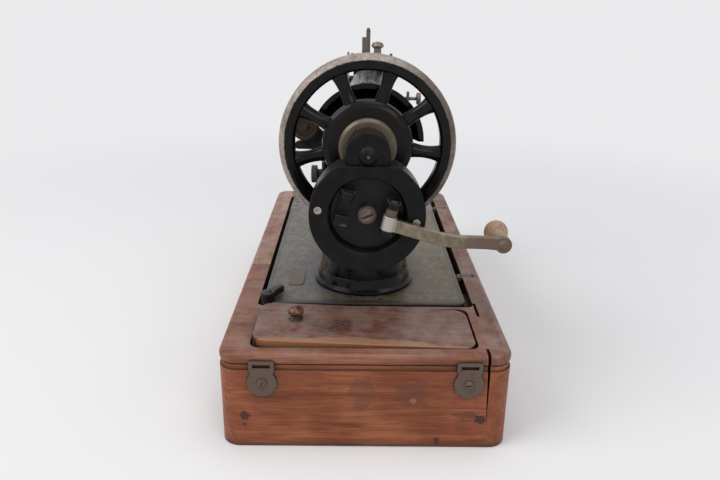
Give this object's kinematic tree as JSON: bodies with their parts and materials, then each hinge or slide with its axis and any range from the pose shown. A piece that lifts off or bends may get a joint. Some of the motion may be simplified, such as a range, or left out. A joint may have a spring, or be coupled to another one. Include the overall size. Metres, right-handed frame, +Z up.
{
  "type": "sewing machine on base box",
  "caption": "Hand-crank sewing machine on a wooden base box, with a hinged accessory lid, spoked handwheel, geared crank and tilting head.",
  "frame": {"origin": "centre of the base box's flat underside", "axes": "+Z up, +X along the length toward the handwheel, -Y the operator's side"},
  "size_m": [0.4412, 0.2182, 0.2992],
  "materials": {
    "box_wood": "satin, worn varnish",
    "top_wood": "dull, dusty",
    "lid_wood": "dull, dusty",
    "inner_wood": "raw",
    "lid_knob_wood": "glossy",
    "handle_wood": "worn smooth",
    "dark_bronze": "dull, tarnished",
    "bed_paint": "worn black japan",
    "black_japan": "gloss",
    "black_satin": "satin",
    "wheel_finish": "gloss with nickelled rim",
    "bronze": "dull",
    "brass": "dull",
    "worn_nickel": "pitted",
    "steel": "dull",
    "rusty_steel": "rusty",
    "winder_iron": "dull"
  },
  "bodies": {
    "base": {"near_end_board": "box_wood", "far_end_board": "box_wood", "front_side_board": "box_wood", "rear_side_board": "box_wood", "near_top_rail": "top_wood", "far_top_rail": "top_wood", "front_top_rail": "top_wood", "rear_top_rail": "top_wood", "cross_rail": "top_wood", "bottom_board": "inner_wood", "partition_board": "inner_wood", "support_blocks": "inner_wood", "catch_plates": "dark_bronze", "base_screws": "dark_bronze", "hinge_leaves": "dark_bronze", "hinge_pins": "dark_bronze"},
    "lid": {"compartment_lid": "lid_wood", "lid_knob": "lid_knob_wood", "lid_pins": "dark_bronze"},
    "head": {"bed": "bed_paint", "arm": "black_japan", "hinge_fingers": "dark_bronze", "head_bolts": "rusty_steel", "head_screws": "rusty_steel", "needle_plate": "worn_nickel", "face_plate": "worn_nickel", "rear_cover": "worn_nickel", "spool_pin": "steel", "tension_discs": "worn_nickel", "crank_housing": "black_satin", "housing_cover": "black_satin", "rear_slide": "worn_nickel"},
    "latch_body": {"latch": "black_japan"},
    "front_slide_body": {"front_slide": "worn_nickel"},
    "tension_nut_body": {"tension_nut": "brass"},
    "presser_screw_body": {"presser_screw": "brass"},
    "needle_body": {"needle_bar": "steel", "needle": "steel"},
    "presser_body": {"presser_bar": "steel", "presser_foot": "worn_nickel"},
    "lifter_body": {"presser_lifter": "steel"},
    "take_up_body": {"take_up_lever": "steel"},
    "stitch_body": {"stitch_lever": "worn_nickel"},
    "stitch_knob_body": {"stitch_knob": "steel"},
    "winder_body": {"winder_bracket": "winder_iron"},
    "winder_pulley_body": {"winder_pulley": "steel"},
    "wheel_body": {"handwheel": "wheel_finish", "main_shaft": "steel"},
    "clutch_body": {"clutch_disc": "bronze", "clutch_screw": "steel"},
    "pinion_body": {"pinion": "steel", "drive_finger": "black_satin"},
    "crank_body": {"big_gear": "steel", "crank_disc": "black_satin", "crank_screw": "rusty_steel", "arm_pin": "steel"},
    "crank_arm_body": {"crank_arm": "worn_nickel"},
    "crank_knob_body": {"crank_knob": "handle_wood"},
    "feed_body": {"feed_dog": "steel"},
    "shuttle_body": {"shuttle_carrier": "steel"}
  },
  "joints": [
    {"name": "head_tilt", "type": "hinge", "parent": "base", "child": "head", "pos_m": [0, 0.089, 0.0768], "axis": [-1, 0, 0], "range_deg": [0, 90]},
    {"name": "lid_hinge", "type": "hinge", "parent": "base", "child": "lid", "pos_m": [0.173, 0.0772, 0.076], "axis": [-1, 0, 0], "range_deg": [-1.9, 22]},
    {"name": "latch_turn", "type": "hinge", "parent": "head", "child": "latch_body", "pos_m": [0.1295, -0.0815, 0.081], "axis": [0, 0, 1], "range_deg": [0, 123]},
    {"name": "front_slide_move", "type": "slide", "parent": "head", "child": "front_slide_body", "axis": [0, -1, 0], "range_m": [0, 0.045]},
    {"name": "tension_nut_turn", "type": "hinge", "parent": "head", "child": "tension_nut_body", "pos_m": [-0.18, 0.009, 0.232], "axis": [1, 0, 0], "continuous": true},
    {"name": "presser_screw_turn", "type": "hinge", "parent": "head", "child": "presser_screw_body", "pos_m": [-0.15, 0.0154, 0.265], "axis": [0, 0, 1], "continuous": true},
    {"name": "needle_bar_slide", "type": "slide", "parent": "head", "child": "needle_body", "axis": [0, 0, 1], "range_m": [-0.028, 0.002]},
    {"name": "presser_slide", "type": "slide", "parent": "head", "child": "presser_body", "axis": [0, 0, 1], "range_m": [0, 0.006]},
    {"name": "lifter_turn", "type": "hinge", "parent": "head", "child": "lifter_body", "pos_m": [-0.15, 0.034, 0.204], "axis": [1, 0, 0], "range_deg": [0, 45]},
    {"name": "take_up_turn", "type": "hinge", "parent": "head", "child": "take_up_body", "pos_m": [-0.136, -0.0168, 0.234], "axis": [0, -1, 0], "range_deg": [0, 50]},
    {"name": "stitch_slide", "type": "slide", "parent": "head", "child": "stitch_body", "axis": [0, 0, 1], "range_m": [-0.006, 0.006]},
    {"name": "stitch_knob_turn", "type": "hinge", "parent": "stitch_body", "child": "stitch_knob_body", "pos_m": [0.085, -0.042, 0.18], "axis": [0, 1, 0], "continuous": true},
    {"name": "winder_swing", "type": "hinge", "parent": "head", "child": "winder_body", "pos_m": [0.093, -0.0375, 0.21], "axis": [1, 0, 0], "range_deg": [-2, 9]},
    {"name": "winder_spin", "type": "hinge", "parent": "winder_body", "child": "winder_pulley_body", "pos_m": [0.098, -0.0505, 0.223], "axis": [1, 0, 0], "continuous": true},
    {"name": "crank_spin", "type": "hinge", "parent": "head", "child": "crank_body", "pos_m": [0.17, 0, 0.173], "axis": [1, 0, 0], "range_deg": [-35, 220]},
    {"name": "wheel_spin", "type": "hinge", "parent": "head", "child": "wheel_body", "pos_m": [0.137, 0, 0.2175], "axis": [1, 0, 0], "range_deg": [-660, 105]},
    {"name": "pinion_spin", "type": "hinge", "parent": "head", "child": "pinion_body", "pos_m": [0.164, 0, 0.2175], "axis": [1, 0, 0], "range_deg": [-660, 105]},
    {"name": "clutch_turn", "type": "hinge", "parent": "wheel_body", "child": "clutch_body", "pos_m": [0.15, 0, 0.2175], "axis": [1, 0, 0], "range_deg": [0, 110]},
    {"name": "crank_fold", "type": "hinge", "parent": "crank_body", "child": "crank_arm_body", "pos_m": [0.187, 0.0154, 0.16945], "axis": [0, -0.225, -0.9744], "range_deg": [0, 180]},
    {"name": "knob_spin", "type": "hinge", "parent": "crank_arm_body", "child": "crank_knob_body", "pos_m": [0.165, 0.10001, 0.15453], "axis": [1, 0, 0], "continuous": true},
    {"name": "feed_slide", "type": "slide", "parent": "head", "child": "feed_body", "axis": [0, 1, 0], "range_m": [-0.002, 0.002]},
    {"name": "shuttle_swing", "type": "hinge", "parent": "head", "child": "shuttle_body", "pos_m": [-0.092, 0.014, 0.061], "axis": [0, 0, -1], "range_deg": [0, 34]}
  ],
  "couplings": [
    {"joint": "wheel_spin", "follows": "crank_spin", "ratio": -3},
    {"joint": "pinion_spin", "follows": "crank_spin", "ratio": -3},
    {"joint": "lifter_turn", "follows": "presser_slide", "rad_per_m": 130.9}
  ]
}
